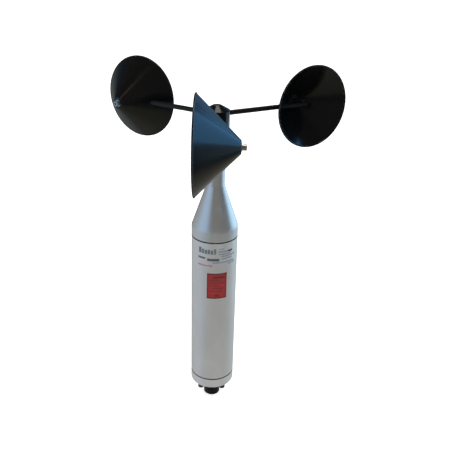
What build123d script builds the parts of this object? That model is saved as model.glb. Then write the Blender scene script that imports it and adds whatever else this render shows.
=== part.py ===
from build123d import *
from math import atan, cos, degrees, radians, sin, tan
import os

# Cup anemometer, upright, in millimetres.  +Z is up along the rotor's axis, the origin is the centre
# of the base cap's underside, and the front of the instrument, with its label, faces -Y.

# ---------------------------------------------------------------- driving sizes
# Fits shared by the assembled pieces
fit_gap = 0.02            # radial gap of pieces that are fixed to each other
spigot_gap = 0.05         # radial gap of the two spigots in the body tube
seam_chamfer = 0.5        # edge break on both sides of each seam

# Housing
body_r = 25.0
base_cap_h = 12.0
tube_len = 178.0
tube_wall = 3.0
head_rim_h = 11.0
cone_h = 45.4
neck_len = 55.6
neck_wall = 2.25
spigot_len = 12.0
spigot_wall = 2.95
base_floor = 5.0
base_round = 0.8
base_bore_r = 17.0        # inside the cap, where its four screws have their threads

# O-rings on the spigots
o_ring_d = 1.8
o_ring_squeeze = 0.35     # how far the groove is shallower than the ring is thick
o_ring_side_gap = 0.3
o_ring_inset = 5.0        # groove's middle, from the seam

# Ball bearings, 6 x 15 x 5
shaft_r = 3.0
bearing_r = 7.5
bearing_w = 5.0
bearing_span = 35.0       # between the two shoulders that the outer rings seat on
bearing_depth = 7.0       # neck's top to the upper bearing's top
shoulder_step = 1.0
land = 0.8                # ring land, from the pitch circle
ball_count = 8
race_gap = 0.06
cage_half = 0.45
cage_rim = 0.3475         # cage left on each side of a ball's pocket
circlip_t = 1.0
circlip_play = 0.1
circlip_groove = 0.5
shaft_clip_t = 0.7
shaft_clip_groove = 0.3
preload_rise = 1.4
preload_t = 0.3
preload_w = 1.6

# Circuit board and its slotted disc
board_ledge = 8.0         # upper seam to the ledge that the board seats on
board_t = 1.6
board_edge_gap = 0.5
board_screw_r = 1.25
board_screw_len = 7.0
board_screw_head_r = 2.3
board_screw_head_h = 1.9
board_screw_key_r = 1.1
board_screws = 3
disc_r = 10.5
disc_t = 0.6
disc_height = 5.0         # board's top to the disc's underside
disc_slots = 16
disc_slot_w = 1.2
disc_slot_len = 2.0
disc_slot_inset = 0.7
chamber_gap = 2.7         # disc's edge to the chamber's wall
chamber_over_collar = 12.0
collar_r = 5.0
collar_h = 6.0
fork_gap = 0.4            # fork to the chamber's wall
fork_w = 7.0
fork_depth = 4.8
fork_slot = 2.6
fork_back = 1.3
fork_cap = 3.0
shaft_end_gap = 2.0       # board's top to the shaft's lower end
chip_outlines = ((5.5, 5.5, 7.0, 7.0), (6.0, -5.0, 5.0, 4.0))   # middle, length and width
chip_h = 1.3
capacitor_places = ((-2.0, 9.0), (-7.0, 9.0))
capacitor_r = 2.0
capacitor_h = 6.0
socket_x = -7.0
socket_len = 7.0
socket_w = 10.0
socket_h = 4.5
plug_step = 1.5           # socket's outline to the plug's
plug_h = 5.0
# Across, back and share of the rise from boot to plug
lead_corners = ((0.0, 0.0, 0.17), (4.0, 2.5, 0.42), (-1.5, -2.5, 0.68), (socket_x, 0.0, 0.87))

# Connector in the base
connector_r = 9.4
connector_len = 24.0
connector_band = 10.0     # fluted grip band next to the base
connector_flutes = 24
flute_r = 0.45
coupling_groove = 0.5
connector_neck_r = 7.5
connector_neck_len = 9.0
socket_r = 7.6
socket_depth = 15.0
insert_r = 6.2
insert_flange_t = 1.5
contact_r = 0.5
contact_ring_r = 3.6
contact_ring_count = 6
contact_reach = 17.0      # base's underside to the contacts' tips
contact_tail = 3.0
nut_flat_r = 10.0
nut_h = 3.0
connector_seat = 0.8      # shell's shoulder, above the base's underside
connector_recess_gap = 0.2
gasket_w = 1.6
gasket_t = 0.8
boot_h = 6.0
lead_r = 2.0

# Four screws round the connector, that hold the base to its bracket
base_screw_x = 12.3
base_screw_y = 15.5
base_screw_r = 2.0
base_screw_len = 10.0
base_screw_head_r = 3.5
base_screw_head_h = 4.0
base_screw_key_r = 1.7
base_washer_r = 4.0
base_washer_t = 0.9
base_lock_washer_t = 1.2
spot_face_gap = 0.2
spot_face_depth = 0.3

# Label, flush in a shallow pocket of the body tube
label_t = 0.1
label_bottom = 110.5      # above the lower seam
label_h = 31.5
label_start = -106.0
label_arc = 51.0

# Rotor
skirt_gap = 0.8           # neck to the hub's rain skirt
skirt_wall = 2.35
skirt_lap = 7.0
hub_ceiling_gap = 2.0     # neck's top to the ceiling inside the hub
hub_web = 14.1            # ceiling to the arms' undersides
hub_over_arm = 1.9        # arms' tops to the hub's shoulder
hub_cone_h = 4.8
hub_flat_r = 4.3
hub_round = 0.6
boss_r = 4.2
arm_r = 2.5
arm_inner = 5.0
arm_past_axis = 2.5       # arm's end past the cup's axis
arm_flat_depth = 0.5
arm_flat_len = 7.0
arm_count = 3
first_arm = -90.0
cup_reach = 106.0         # rotor's axis to the cups' axes
cup_rim_r = 43.4
cup_rim_back = 16.0       # arms' axes to the rim plane
cup_tip_front = 23.2      # arms' axes to the tip's outer face
cup_tip_r = 5.0
cup_wall = 1.0
cup_tip_t = 1.5
cup_bead_r = 0.85
cup_tip_round = 1.5
screw_r = 1.5
screw_hole_gap = 0.1
screw_head_r = 2.75
screw_head_h = 3.0
screw_key_r = 1.45
screw_key_depth = 1.5
screw_web = 0.8           # metal left in the arm past the cup screw's hole
screw_end_gap = 0.3
head_break = 0.3
washer_r = 3.5
washer_t = 0.5
lock_washer_t = 0.9
lock_washer_slit = 0.5
spacer_r = 3.0
set_screw_len = 8.0
set_screw_at = 8.4
shaft_over_web = 2.1      # shaft's top to the arms' undersides
shaft_thread_len = 12.0
hub_screw_len = 20.6
hub_screw_sink = 3.2

# ---------------------------------------------------------------- heights and radii that follow
tube_bottom = base_cap_h
tube_top = tube_bottom + tube_len
cone_bottom = tube_top + head_rim_h
neck_bottom = cone_bottom + cone_h
neck_top = neck_bottom + neck_len
tube_bore_r = body_r - tube_wall
spigot_r = tube_bore_r - spigot_gap
spigot_bore_r = spigot_r - spigot_wall
neck_r = bearing_r + neck_wall

upper_bearing_z = neck_top - bearing_depth - bearing_w
lower_bearing_top = upper_bearing_z - bearing_span
lower_bearing_z = lower_bearing_top - bearing_w
pitch_r = (shaft_r + bearing_r) / 2
ball_r = 0.265 * (bearing_r - shaft_r)
race_r = ball_r + race_gap
cage_w = 2 * (race_r + cage_rim)
upper_clip_z = upper_bearing_z + bearing_w
lower_clip_z = lower_bearing_z - preload_rise - preload_t - circlip_t
clip_seat_r = bearing_r + circlip_groove

board_top = tube_top + board_ledge
board_r = spigot_bore_r - board_edge_gap
chamber_r = disc_r + chamber_gap
chamber_top = board_top + disc_height + disc_t + collar_h + chamber_over_collar
board_screw_ring_r = (board_r + chamber_r) / 2
disc_z = board_top + disc_height

hub_bottom = neck_top - skirt_lap
hub_ceiling = neck_top + hub_ceiling_gap
arm_z = hub_ceiling + hub_web + arm_r
hub_shoulder = arm_z + arm_r + hub_over_arm
hub_top = hub_shoulder + hub_cone_h
skirt_r = neck_r + skirt_gap
hub_r = skirt_r + skirt_wall
shaft_top = arm_z - arm_r - shaft_over_web
shaft_bottom = board_top + shaft_end_gap
hub_screw_seat = hub_top - hub_screw_sink
screw_hole_r = screw_r + screw_hole_gap
thread_r = screw_r + fit_gap

cup_half_angle = atan((cup_rim_r - cup_tip_r) / (cup_rim_back + cup_tip_front))
cup_wall_x = cup_wall / cos(cup_half_angle)
arm_tip = cup_reach + arm_past_axis
arm_seat = arm_r - arm_flat_depth
head_seat = cup_tip_front + washer_t + lock_washer_t

os.makedirs("parts", exist_ok=True)


# ---------------------------------------------------------------- helpers
def write(piece, name):
    piece.part.label = name
    export_step(piece.part, f"parts/{name}.step")


def turned(outline, plane=Plane.XZ, axis=Axis.Z):
    """Turn a closed outline of (radius, height) points about an axis."""
    with BuildSketch(plane) as profile:
        with BuildLine():
            Polyline(*outline, close=True)
        make_face()
    revolve(profile.sketch, axis=axis)


def disc(radius, low, high, mode=Mode.ADD):
    with BuildSketch(Plane.XY.offset(low)) as face:
        Circle(radius)
    extrude(face.sketch, amount=high - low, mode=mode)


def rims(piece, radius, height):
    """The circular edges of a piece at one radius and height."""
    return [
        edge
        for edge in piece.edges().filter_by(GeomType.CIRCLE)
        if abs(edge.radius - radius) < 0.01 and abs(edge.arc_center.Z - height) < 0.01
    ]


def outward(angle):
    return Vector(cos(radians(angle)), sin(radians(angle)), 0)


def ahead(angle):
    return Vector(-sin(radians(angle)), cos(radians(angle)), 0)


def meridian(angle):
    """Upright plane through the rotor's axis: local x outwards, local y up."""
    return Plane(origin=(0, 0, 0), x_dir=outward(angle), z_dir=-ahead(angle))


def across_arm(angle, reach):
    """Plane square to an arm: local x the way the cup leads, local y up."""
    centre = outward(angle) * reach + Vector(0, 0, arm_z)
    return Plane(origin=centre, x_dir=ahead(angle), z_dir=outward(angle))


def cup_centre(angle):
    return outward(angle) * cup_reach + Vector(0, 0, arm_z)


def cup_profile(angle):
    """Level plane through a cup's axis: local x outwards, local y along the cup's axis."""
    return Plane(origin=cup_centre(angle), x_dir=outward(angle), z_dir=(0, 0, 1))


def cup_axis(angle):
    return Axis(cup_centre(angle), ahead(angle))


def along_cup(angle, distance):
    """Plane square to a cup's axis, a distance ahead of the arm."""
    centre = cup_centre(angle) + ahead(angle) * distance
    return Plane(origin=centre, x_dir=outward(angle), z_dir=ahead(angle))


arm_angles = [first_arm + index * 360 / arm_count for index in range(arm_count)]


# ---------------------------------------------------------------- housing
def spigot_groove(seam, direction):
    """Cut the O-ring groove in a spigot that starts at a seam."""
    middle = seam + direction * o_ring_inset
    half = o_ring_d / 2 + o_ring_side_gap
    depth = o_ring_d - o_ring_squeeze - spigot_gap
    with BuildSketch(Plane.XY.offset(middle - half)) as groove:
        Circle(spigot_r + 1)
        Circle(spigot_r - depth, mode=Mode.SUBTRACT)
    extrude(groove.sketch, amount=2 * half, mode=Mode.SUBTRACT)


def spigot_ring(seam, direction):
    """An O-ring, flattened between its groove and the tube's bore."""
    with BuildPart() as ring:
        with BuildSketch(Plane.XZ):
            with Locations((tube_bore_r - (o_ring_d - o_ring_squeeze) / 2, seam + direction * o_ring_inset)):
                Ellipse((o_ring_d - o_ring_squeeze) / 2 - fit_gap, o_ring_d / 2)
        revolve(axis=Axis.Z)
    return ring


with BuildPart() as body_tube:
    turned([
        (tube_bore_r, tube_bottom),
        (body_r - seam_chamfer, tube_bottom),
        (body_r, tube_bottom + seam_chamfer),
        (body_r, tube_top - seam_chamfer),
        (body_r - seam_chamfer, tube_top),
        (tube_bore_r, tube_top),
    ])
    with BuildSketch(meridian(label_start)):
        with Locations((body_r - label_t, tube_bottom + label_bottom)):
            Rectangle(1, label_h, align=(Align.MIN, Align.MIN))
    revolve(axis=Axis.Z, revolution_arc=label_arc, mode=Mode.SUBTRACT)
write(body_tube, "body_tube")

with BuildPart() as red_label:
    with BuildSketch(meridian(label_start)):
        with Locations((body_r - label_t, tube_bottom + label_bottom)):
            Rectangle(label_t, label_h, align=(Align.MIN, Align.MIN))
    revolve(axis=Axis.Z, revolution_arc=label_arc)
write(red_label, "red_label")

with BuildPart() as head:
    turned([
        (spigot_bore_r, tube_top - spigot_len),
        (spigot_r, tube_top - spigot_len),
        (spigot_r, tube_top),
        (body_r - seam_chamfer, tube_top),
        (body_r, tube_top + seam_chamfer),
        (body_r, cone_bottom),
        (neck_r, neck_bottom),
        (neck_r, neck_top - seam_chamfer),
        (neck_r - seam_chamfer, neck_top),
        (bearing_r, neck_top),
        (bearing_r, upper_clip_z + circlip_t + circlip_play),
        (clip_seat_r, upper_clip_z + circlip_t + circlip_play),
        (clip_seat_r, upper_clip_z),
        (bearing_r, upper_clip_z),
        (bearing_r, upper_bearing_z),
        (bearing_r - shoulder_step, upper_bearing_z),
        (bearing_r - shoulder_step, lower_bearing_top),
        (bearing_r, lower_bearing_top),
        (bearing_r, lower_clip_z + circlip_t),
        (clip_seat_r, lower_clip_z + circlip_t),
        (clip_seat_r, lower_clip_z - circlip_play),
        (bearing_r, lower_clip_z - circlip_play),
        (bearing_r, chamber_top),
        (chamber_r, chamber_top),
        (chamber_r, board_top),
        (spigot_bore_r, board_top),
    ])
    spigot_groove(tube_top, -1)
    with BuildSketch(Plane.XY.offset(board_top)):
        with PolarLocations(board_screw_ring_r, board_screws, start_angle=60):
            Circle(board_screw_r + fit_gap)
    extrude(amount=board_screw_len, mode=Mode.SUBTRACT)
    fillet(rims(head, body_r, cone_bottom), hub_round)
write(head, "head")

recess_r = connector_r + connector_recess_gap
recess_top = connector_seat + gasket_t
spot_face_r = base_washer_r + spot_face_gap
base_screw_places = [(x, y) for x in (-base_screw_x, base_screw_x) for y in (-base_screw_y, base_screw_y)]
base_head_seat = spot_face_depth - base_washer_t - base_lock_washer_t
with BuildPart() as base_cap:
    turned([
        (recess_r, 0),
        (body_r, 0),
        (body_r, base_cap_h - seam_chamfer),
        (body_r - seam_chamfer, base_cap_h),
        (spigot_r, base_cap_h),
        (spigot_r, base_cap_h + spigot_len),
        (spigot_bore_r, base_cap_h + spigot_len),
        (spigot_bore_r, base_cap_h),
        (base_bore_r, base_cap_h),
        (base_bore_r, base_floor),
        (connector_neck_r + fit_gap, base_floor),
        (connector_neck_r + fit_gap, recess_top),
        (recess_r, recess_top),
    ])
    spigot_groove(base_cap_h, 1)
    fillet(rims(base_cap, body_r, 0), base_round)
    with BuildSketch(Plane.XY):
        with Locations(*base_screw_places):
            Circle(spot_face_r)
    extrude(amount=spot_face_depth, mode=Mode.SUBTRACT)
    with BuildSketch(Plane.XY):
        with Locations(*base_screw_places):
            Circle(base_screw_r + fit_gap)
    extrude(amount=base_head_seat + base_screw_len + head_break, mode=Mode.SUBTRACT)
write(base_cap, "base_cap")

head_o_ring = spigot_ring(tube_top, -1)
write(head_o_ring, "head_o_ring")
base_o_ring = spigot_ring(base_cap_h, 1)
write(base_o_ring, "base_o_ring")


# ---------------------------------------------------------------- connector and breather
with BuildPart() as connector_shell:
    coupling_top = -connector_band - coupling_groove * 2
    turned([
        (socket_r, -connector_len),
        (connector_r - seam_chamfer, -connector_len),
        (connector_r, seam_chamfer - connector_len),
        (connector_r, coupling_top),
        (connector_r - coupling_groove, coupling_top),
        (connector_r - coupling_groove, -connector_band),
        (connector_r, -connector_band),
        (connector_r, connector_seat),
        (connector_neck_r, connector_seat),
        (connector_neck_r, connector_neck_len),
        (insert_r, connector_neck_len),
        (insert_r, socket_depth - connector_len),
        (socket_r, socket_depth - connector_len),
    ])
    with BuildSketch(Plane.XY.offset(-connector_band)):
        with PolarLocations(connector_r, connector_flutes):
            Circle(flute_r)
    extrude(amount=connector_band - 1, mode=Mode.SUBTRACT)
write(connector_shell, "connector_shell")


def contact_places(mode, radius):
    Circle(radius, mode=mode)
    with PolarLocations(contact_ring_r, contact_ring_count):
        Circle(radius, mode=mode)


insert_front = socket_depth - connector_len - insert_flange_t
with BuildPart() as connector_insert:
    turned([
        (0, insert_front),
        (socket_r - fit_gap, insert_front),
        (socket_r - fit_gap, insert_front + insert_flange_t),
        (insert_r - fit_gap, insert_front + insert_flange_t),
        (insert_r - fit_gap, connector_neck_len),
        (0, connector_neck_len),
    ])
    with BuildSketch(Plane.XY.offset(insert_front)):
        contact_places(Mode.ADD, contact_r + fit_gap)
    extrude(amount=connector_neck_len - insert_front, mode=Mode.SUBTRACT)
write(connector_insert, "connector_insert")

with BuildPart() as connector_contacts:
    with BuildSketch(Plane.XY.offset(-contact_reach)):
        contact_places(Mode.ADD, contact_r)
    extrude(amount=contact_reach + connector_neck_len + contact_tail)
write(connector_contacts, "connector_contacts")

with BuildPart() as connector_boot:
    disc(insert_r, connector_neck_len, connector_neck_len + boot_h)
    with BuildSketch(Plane.XY.offset(connector_neck_len)):
        contact_places(Mode.ADD, contact_r + fit_gap)
    extrude(amount=contact_tail, mode=Mode.SUBTRACT)
write(connector_boot, "connector_boot")

with BuildPart() as connector_nut:
    with BuildSketch(Plane.XY.offset(base_floor)):
        RegularPolygon(nut_flat_r, 6, major_radius=False)
        Circle(connector_neck_r + fit_gap, mode=Mode.SUBTRACT)
    extrude(amount=nut_h)
write(connector_nut, "connector_nut")

with BuildPart() as connector_gasket:
    with BuildSketch(Plane.XY.offset(connector_seat)):
        Circle(connector_neck_r + gasket_w)
        Circle(connector_neck_r + fit_gap, mode=Mode.SUBTRACT)
    extrude(amount=gasket_t)
write(connector_gasket, "connector_gasket")



def base_pieces(outline, name, key_r=0.0):
    """The same turned piece at each of the base's four screws, with a hexagon socket or none."""
    with BuildPart() as pieces:
        for x, y in base_screw_places:
            turned(outline, Plane(origin=(x, y, 0), x_dir=(1, 0, 0), z_dir=(0, -1, 0)), Axis((x, y, 0), (0, 0, 1)))
        if key_r:
            with BuildSketch(Plane.XY.offset(base_head_seat - base_screw_head_h)):
                with Locations(*base_screw_places):
                    RegularPolygon(key_r, 6)
            extrude(amount=base_screw_head_h / 2, mode=Mode.SUBTRACT)
    write(pieces, name)


base_head_low = base_head_seat - base_screw_head_h
base_screw_outline = [
    (0, base_head_low),
    (base_screw_head_r - head_break, base_head_low),
    (base_screw_head_r, base_head_low + head_break),
    (base_screw_head_r, base_head_seat),
    (base_screw_r, base_head_seat),
    (base_screw_r, base_head_seat + base_screw_len),
    (0, base_head_seat + base_screw_len),
]


def washer_outline(inner, outer, low, high):
    return [(inner, low), (outer, low), (outer, high), (inner, high)]


base_hole_r = base_screw_r + screw_hole_gap
lock_top = base_head_seat + base_lock_washer_t
base_pieces(base_screw_outline, "base_screws", base_screw_key_r)
base_pieces(washer_outline(base_hole_r, base_washer_r, lock_top, spot_face_depth), "base_washers")
base_pieces(washer_outline(base_hole_r, base_screw_head_r, base_head_seat, lock_top), "base_lock_washers")


# ---------------------------------------------------------------- bearings
def ring_with_race(inner, outer, low):
    with BuildPart() as ring:
        with BuildSketch(Plane.XZ):
            with Locations((inner, low)):
                Rectangle(outer - inner, bearing_w, align=(Align.MIN, Align.MIN))
            with Locations((pitch_r, low + bearing_w / 2)):
                Circle(race_r, mode=Mode.SUBTRACT)
        revolve(axis=Axis.Z)
    return ring


def rolling_balls(low):
    with BuildPart() as balls:
        with Locations((0, 0, low + bearing_w / 2)):
            with PolarLocations(pitch_r, ball_count):
                Sphere(ball_r)
    return balls


def ball_cage(low):
    """A ring with a round pocket through its wall for each ball."""
    with BuildPart() as cage:
        with BuildSketch(Plane.XY.offset(low + (bearing_w - cage_w) / 2)):
            Circle(pitch_r + cage_half)
            Circle(pitch_r - cage_half, mode=Mode.SUBTRACT)
        extrude(amount=cage_w)
        for index in range(ball_count):
            angle = index * 360 / ball_count
            start = outward(angle) * (pitch_r - ball_r) + Vector(0, 0, low + bearing_w / 2)
            with BuildSketch(Plane(origin=start, x_dir=ahead(angle), z_dir=outward(angle))):
                Circle(race_r)
            extrude(amount=2 * ball_r, mode=Mode.SUBTRACT)
    return cage


for place, low in (("upper", upper_bearing_z), ("lower", lower_bearing_z)):
    write(ring_with_race(pitch_r + land, bearing_r - fit_gap, low), f"{place}_bearing_outer_ring")
    write(ring_with_race(shaft_r + fit_gap, pitch_r - land, low), f"{place}_bearing_inner_ring")
    write(rolling_balls(low), f"{place}_bearing_balls")
    write(ball_cage(low), f"{place}_bearing_cage")


def circlip(low, thickness, inner, outer, lug_r, lug_reach):
    """An open ring with two drilled lugs beside its gap."""
    gap = lug_r * 0.8
    with BuildPart() as clip:
        with BuildSketch(Plane.XY.offset(low)):
            Circle(outer)
            Circle(inner, mode=Mode.SUBTRACT)
            with Locations(((inner + outer) / 2, 0)):
                Rectangle((outer - inner) * 2, gap, mode=Mode.SUBTRACT)
            with Locations((lug_reach, gap / 2 + lug_r), (lug_reach, -gap / 2 - lug_r)):
                Circle(lug_r)
                Circle(lug_r * 0.45, mode=Mode.SUBTRACT)
        extrude(amount=thickness)
    return clip


for place, low in (("upper", upper_clip_z), ("lower", lower_clip_z)):
    housing_clip = circlip(low, circlip_t, bearing_r - 1.2, clip_seat_r - fit_gap, 1.0, bearing_r - 1.7)
    write(housing_clip, f"{place}_bearing_circlip")
shaft_clip_r = shaft_r - shaft_clip_groove
shaft_clip_z = lower_bearing_z - shaft_clip_t
shaft_clip = circlip(shaft_clip_z, shaft_clip_t, shaft_clip_r + fit_gap, shaft_r + 1.1, 0.7, shaft_r + 0.9)
write(shaft_clip, "shaft_circlip")

with BuildPart() as preload_washer:
    washer_edge = bearing_r - 0.1
    bow_r = (washer_edge ** 2 + preload_rise ** 2) / (2 * preload_rise)
    washer_low = lower_clip_z + circlip_t
    with BuildSketch(Plane.XZ):
        with Locations((0, washer_low + bow_r)):
            Circle(bow_r)
            Circle(bow_r - preload_t, mode=Mode.SUBTRACT)
    extrude(amount=bearing_r, both=True)
    with BuildSketch(Plane.XY.offset(washer_low)):
        Circle(washer_edge)
        Circle(bearing_r - preload_w, mode=Mode.SUBTRACT)
    extrude(amount=preload_rise + preload_t, mode=Mode.INTERSECT)
write(preload_washer, "preload_washer")


# ---------------------------------------------------------------- circuit board
with BuildPart() as circuit_board:
    with BuildSketch(Plane.XY.offset(board_top - board_t)):
        Circle(board_r)
        with PolarLocations(board_screw_ring_r, board_screws, start_angle=60):
            Circle(board_screw_r + screw_hole_gap, mode=Mode.SUBTRACT)
    extrude(amount=board_t)
write(circuit_board, "circuit_board")

with BuildPart() as board_screw_set:
    with BuildSketch(Plane.XY.offset(board_top - board_t - board_screw_head_h)):
        with PolarLocations(board_screw_ring_r, board_screws, start_angle=60):
            Circle(board_screw_head_r)
    extrude(amount=board_screw_head_h)
    chamfer(board_screw_set.faces().group_by(Axis.Z)[0].edges(), head_break)
    with BuildSketch(Plane.XY.offset(board_top - board_t)):
        with PolarLocations(board_screw_ring_r, board_screws, start_angle=60):
            Circle(board_screw_r)
    extrude(amount=board_screw_len)
    with BuildSketch(Plane.XY.offset(board_top - board_t - board_screw_head_h)):
        with PolarLocations(board_screw_ring_r, board_screws, start_angle=60):
            RegularPolygon(board_screw_key_r, 6)
    extrude(amount=board_screw_head_h / 2, mode=Mode.SUBTRACT)
write(board_screw_set, "board_screws")

fork_front = ((chamber_r - fork_gap) ** 2 - (fork_w / 2) ** 2) ** 0.5 - fork_depth
slot_low = disc_z + disc_t / 2 - fork_slot / 2
with BuildPart() as optical_fork:
    with BuildSketch(Plane.XY.offset(board_top)):
        with Locations((fork_front, 0)):
            Rectangle(fork_depth, fork_w, align=(Align.MIN, Align.CENTER))
    extrude(amount=slot_low + fork_slot + fork_cap - board_top)
    with BuildSketch(Plane.XY.offset(slot_low)):
        with Locations((fork_front, 0)):
            Rectangle(fork_depth - fork_back, fork_w, align=(Align.MIN, Align.CENTER))
    extrude(amount=fork_slot, mode=Mode.SUBTRACT)
write(optical_fork, "optical_fork")

board_underside = board_top - board_t
with BuildPart() as board_chips:
    with BuildSketch(Plane.XY.offset(board_underside)):
        for x, y, length, width in chip_outlines:
            with Locations((x, y)):
                Rectangle(length, width)
    extrude(amount=-chip_h)
write(board_chips, "board_chips")

with BuildPart() as board_capacitors:
    with BuildSketch(Plane.XY.offset(board_underside)):
        with Locations(*capacitor_places):
            Circle(capacitor_r)
    extrude(amount=-capacitor_h)
write(board_capacitors, "board_capacitors")

with BuildPart() as board_socket:
    with BuildSketch(Plane.XY.offset(board_underside)):
        with Locations((socket_x, 0)):
            Rectangle(socket_len, socket_w)
    extrude(amount=-socket_h)
write(board_socket, "board_socket")

plug_low = board_underside - socket_h - plug_h
with BuildPart() as lead_plug:
    with BuildSketch(Plane.XY.offset(plug_low)):
        with Locations((socket_x, 0)):
            Rectangle(socket_len - plug_step, socket_w - plug_step)
    extrude(amount=plug_h)
write(lead_plug, "lead_plug")

# The lead hangs a little slack between the connector's boot and its plug.
boot_top = connector_neck_len + boot_h
lead_room = plug_low - boot_top
lead_route = [Vector(0, 0, boot_top)]
for x, y, share in lead_corners:
    lead_route.append(Vector(x, y, boot_top + lead_room * share))
lead_route.append(Vector(socket_x, 0, plug_low))


def corner_radii(route):
    """The largest arc that the shorter run beside each corner has room for."""
    found = []
    for before, corner, after in zip(route, route[1:], route[2:]):
        turn = (corner - before).get_angle(after - corner)
        shorter = min((corner - before).length, (after - corner).length)
        found.append(0.45 * shorter / tan(radians(turn) / 2))
    return found


lead_radii = corner_radii(lead_route)
print("lead corner radii, mm:", [round(radius, 1) for radius in lead_radii])
with BuildPart() as signal_lead:
    with BuildLine() as lead_line:
        FilletPolyline(*lead_route, radius=lead_radii)
    with BuildSketch(Plane.XY.offset(boot_top)):
        Circle(lead_r)
    sweep(path=lead_line.line)
write(signal_lead, "signal_lead")


# ---------------------------------------------------------------- rotor's hub, shaft and disc
with BuildPart() as rotor_hub:
    turned([
        (skirt_r, hub_bottom),
        (hub_r, hub_bottom),
        (hub_r, hub_shoulder),
        (hub_flat_r, hub_top),
        (screw_head_r + screw_hole_gap * 3, hub_top),
        (screw_head_r + screw_hole_gap * 3, hub_screw_seat),
        (screw_hole_r, hub_screw_seat),
        (screw_hole_r, shaft_top),
        (shaft_r + fit_gap, shaft_top),
        (shaft_r + fit_gap, upper_clip_z),
        (boss_r, upper_clip_z),
        (boss_r, hub_ceiling),
        (skirt_r, hub_ceiling),
    ])
    fillet(rims(rotor_hub, hub_r, hub_shoulder) + rims(rotor_hub, hub_r, hub_bottom), hub_round)
    for angle in arm_angles:
        with BuildSketch(across_arm(angle, arm_inner)):
            Circle(arm_r + fit_gap)
        extrude(amount=hub_r, mode=Mode.SUBTRACT)
    with BuildSketch(Plane.XY.offset(hub_ceiling)):
        with PolarLocations(set_screw_at, arm_count, start_angle=first_arm):
            Circle(thread_r)
    extrude(amount=arm_z - hub_ceiling, mode=Mode.SUBTRACT)
write(rotor_hub, "rotor_hub")

with BuildPart() as arm_set_screws:
    set_screw_low = arm_z - arm_r - fit_gap - set_screw_len
    with BuildSketch(Plane.XY.offset(set_screw_low)):
        with PolarLocations(set_screw_at, arm_count, start_angle=first_arm):
            Circle(screw_r)
    extrude(amount=set_screw_len)
    with BuildSketch(Plane.XY.offset(set_screw_low)):
        with PolarLocations(set_screw_at, arm_count, start_angle=first_arm):
            RegularPolygon(screw_r * 0.55, 6)
    extrude(amount=2, mode=Mode.SUBTRACT)
write(arm_set_screws, "arm_set_screws")

with BuildPart() as rotor_shaft:
    turned([
        (0, shaft_bottom),
        (shaft_r - head_break, shaft_bottom),
        (shaft_r, shaft_bottom + head_break),
        (shaft_r, shaft_clip_z - circlip_play),
        (shaft_clip_r, shaft_clip_z - circlip_play),
        (shaft_clip_r, lower_bearing_z),
        (shaft_r, lower_bearing_z),
        (shaft_r, shaft_top - fit_gap),
        (thread_r, shaft_top - fit_gap),
        (thread_r, shaft_top - shaft_thread_len),
        (0, shaft_top - shaft_thread_len),
    ])
write(rotor_shaft, "rotor_shaft")


def cap_screw_outline(seat, length):
    """Half section of a cap screw that points down from its seat."""
    return [
        (0, seat - length),
        (screw_r - head_break, seat - length),
        (screw_r, seat - length + head_break),
        (screw_r, seat),
        (screw_head_r, seat),
        (screw_head_r, seat + screw_head_h - head_break),
        (screw_head_r - head_break, seat + screw_head_h),
        (0, seat + screw_head_h),
    ]


with BuildPart() as hub_screw:
    turned(cap_screw_outline(hub_screw_seat, hub_screw_len))
    with BuildSketch(Plane.XY.offset(hub_screw_seat + screw_head_h)):
        RegularPolygon(screw_key_r, 6)
    extrude(amount=-screw_key_depth, mode=Mode.SUBTRACT)
write(hub_screw, "hub_screw")

with BuildPart() as encoder_disc:
    disc(disc_r, disc_z, disc_z + disc_t)
    disc(shaft_r + fit_gap, disc_z, disc_z + disc_t, mode=Mode.SUBTRACT)
    with BuildSketch(Plane.XY.offset(disc_z)):
        with PolarLocations(disc_r - disc_slot_inset - disc_slot_len / 2, disc_slots):
            Rectangle(disc_slot_len, disc_slot_w)
    extrude(amount=disc_t, mode=Mode.SUBTRACT)
write(encoder_disc, "encoder_disc")

collar_low = disc_z + disc_t
collar_middle = collar_low + collar_h / 2
with BuildPart() as encoder_collar:
    disc(collar_r, collar_low, collar_low + collar_h)
    disc(shaft_r + fit_gap, collar_low, collar_low + collar_h, mode=Mode.SUBTRACT)
    with BuildSketch(Plane(origin=(0, 0, collar_middle), z_dir=(0, 1, 0))):
        Circle(board_screw_r + fit_gap)
    extrude(amount=collar_r + 1, mode=Mode.SUBTRACT)
write(encoder_collar, "encoder_collar")

with BuildPart() as collar_screw:
    with BuildSketch(Plane(origin=(0, shaft_r + fit_gap, collar_middle), z_dir=(0, 1, 0))):
        Circle(board_screw_r)
    extrude(amount=collar_r - shaft_r - fit_gap)
write(collar_screw, "collar_screw")


# ---------------------------------------------------------------- arms and cups
def rotor_arm(angle):
    with BuildPart() as arm:
        with BuildSketch(across_arm(angle, arm_inner)):
            Circle(arm_r)
        extrude(amount=arm_tip - arm_inner)
        with BuildSketch(across_arm(angle, arm_tip)):
            with Locations((arm_seat, 0)):
                Rectangle(arm_r, arm_r * 2, align=(Align.MIN, Align.CENTER))
        extrude(amount=-arm_flat_len, mode=Mode.SUBTRACT)
        with BuildSketch(along_cup(angle, screw_web - arm_r)):
            Circle(thread_r)
        extrude(amount=arm_r * 2, mode=Mode.SUBTRACT)
    return arm


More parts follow.
